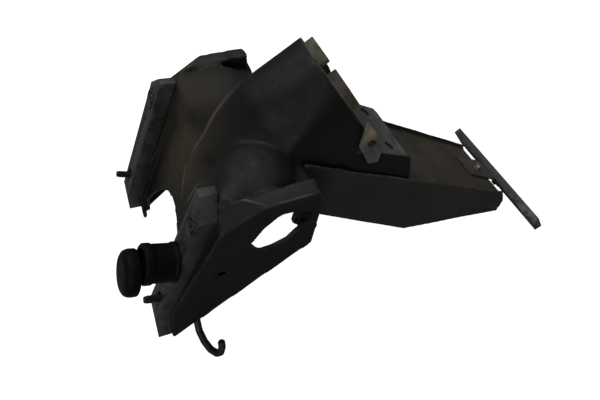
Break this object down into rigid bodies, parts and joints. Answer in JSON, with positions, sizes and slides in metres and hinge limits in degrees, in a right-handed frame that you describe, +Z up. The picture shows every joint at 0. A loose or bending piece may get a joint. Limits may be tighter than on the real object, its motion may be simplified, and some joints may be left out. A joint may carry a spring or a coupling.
{
  "type": "tail tidy",
  "caption": "Rear undertray of a motorbike with lamp hood, number-plate hanger and plate bar, mounting rails with studs and grommets, and small fittings.",
  "frame": {"origin": "centre of the bounding box's bottom face, on the table that the part rests on", "axes": "+X to the rear, from the mounting rails to the plate bar; +Y to the right-hand side; +Z up"},
  "size_m": [0.5854, 0.2328, 0.2851],
  "materials": {
    "tray_plastic": "near-black moulded plastic with a dust film",
    "hanger_plastic": "near-black moulded plastic with brown dust",
    "rail_plastic": "black plastic, greyed by wear",
    "grommet_rubber": "grey-black rubber",
    "sleeve_steel": "dull steel",
    "black_steel": "blackened steel",
    "screw_steel": "dull steel",
    "bracket_plastic": "grey moulding with dust",
    "pad_foam": "brown-beige foam rubber",
    "bar_plastic": "black plastic with a fine grey bloom",
    "bracket_steel": "black-painted sheet steel",
    "zinc_steel": "zinc-plated steel",
    "hook_steel": "black-coated wire",
    "duct_rubber": "black rubber",
    "bush_rubber": "black rubber"
  },
  "bodies": {
    "root": {"undertray": "tray_plastic", "plate_hanger": "hanger_plastic", "left_mount_rail": "rail_plastic", "right_mount_rail": "rail_plastic", "left_grommet": "grommet_rubber", "right_grommet": "grommet_rubber", "left_grommet_sleeve": "sleeve_steel", "right_grommet_sleeve": "sleeve_steel", "left_stud": "black_steel", "right_stud": "black_steel", "rail_screws": "screw_steel", "lamp_bracket": "bracket_plastic", "lamp_bracket_screws": "screw_steel", "upper_lamp_pad": "pad_foam", "lower_lamp_pad": "pad_foam", "plate_bar": "bar_plastic", "bar_bracket": "bracket_steel", "bar_bolt": "zinc_steel", "bar_washer": "zinc_steel", "bar_nut": "zinc_steel", "bar_screws": "screw_steel", "luggage_hook": "hook_steel", "rubber_sleeve": "duct_rubber", "rubber_plug": "duct_rubber", "left_indicator_bush": "bush_rubber", "right_indicator_bush": "bush_rubber", "hanger_screws": "screw_steel"}
  },
  "joints": []
}
